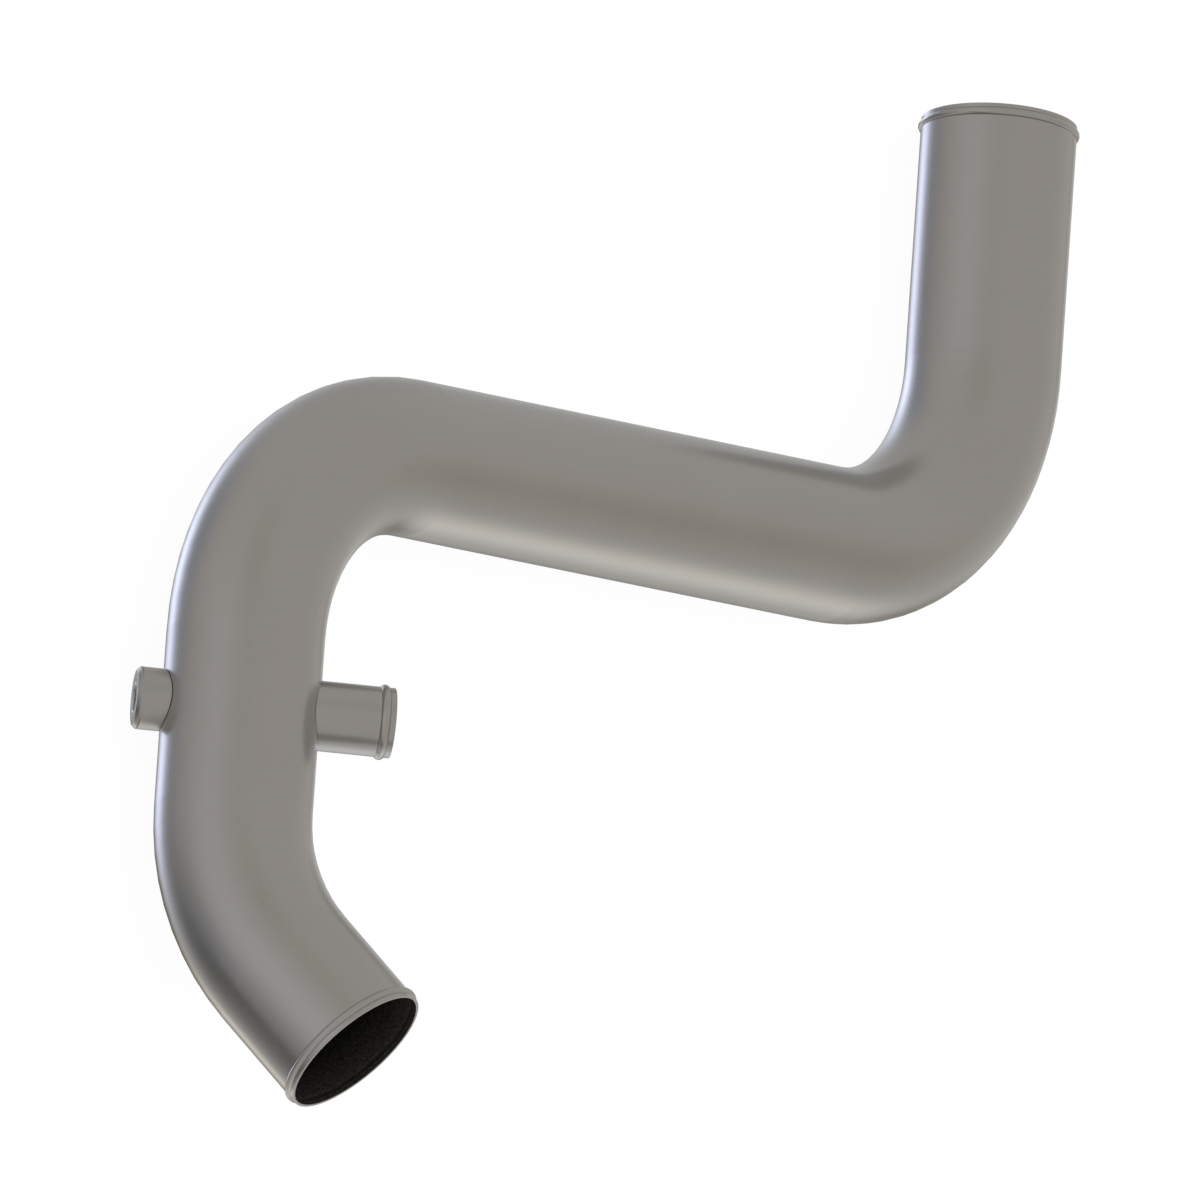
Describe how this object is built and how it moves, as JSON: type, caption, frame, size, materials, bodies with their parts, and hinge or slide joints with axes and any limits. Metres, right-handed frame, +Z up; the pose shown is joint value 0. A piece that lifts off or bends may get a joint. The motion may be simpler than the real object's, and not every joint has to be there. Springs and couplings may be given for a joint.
{
  "type": "coolant pipe",
  "caption": "Bent metal coolant pipe with a rolled hose bead at both open ends, a small beaded side spigot and, opposite it, a chamfered threaded sensor boss.",
  "frame": {"origin": "on the surface the pipe lies on, under the centre of its bounding box", "axes": "+Z up from the surface the pipe lies on; +X level along the middle run, from the branch run's side to the long leg; +Y completes a right-handed frame, towards the long leg's open end"},
  "size_m": [0.5226, 0.467, 0.1082],
  "materials": {
    "pipe_steel": "satin, fine-grained mid grey",
    "spigot_steel": "satin, fine-grained mid grey",
    "boss_steel": "satin, turned, mid grey"
  },
  "bodies": {
    "root": {"main_pipe": "pipe_steel", "branch_spigot": "spigot_steel", "sensor_boss": "boss_steel"}
  },
  "joints": []
}
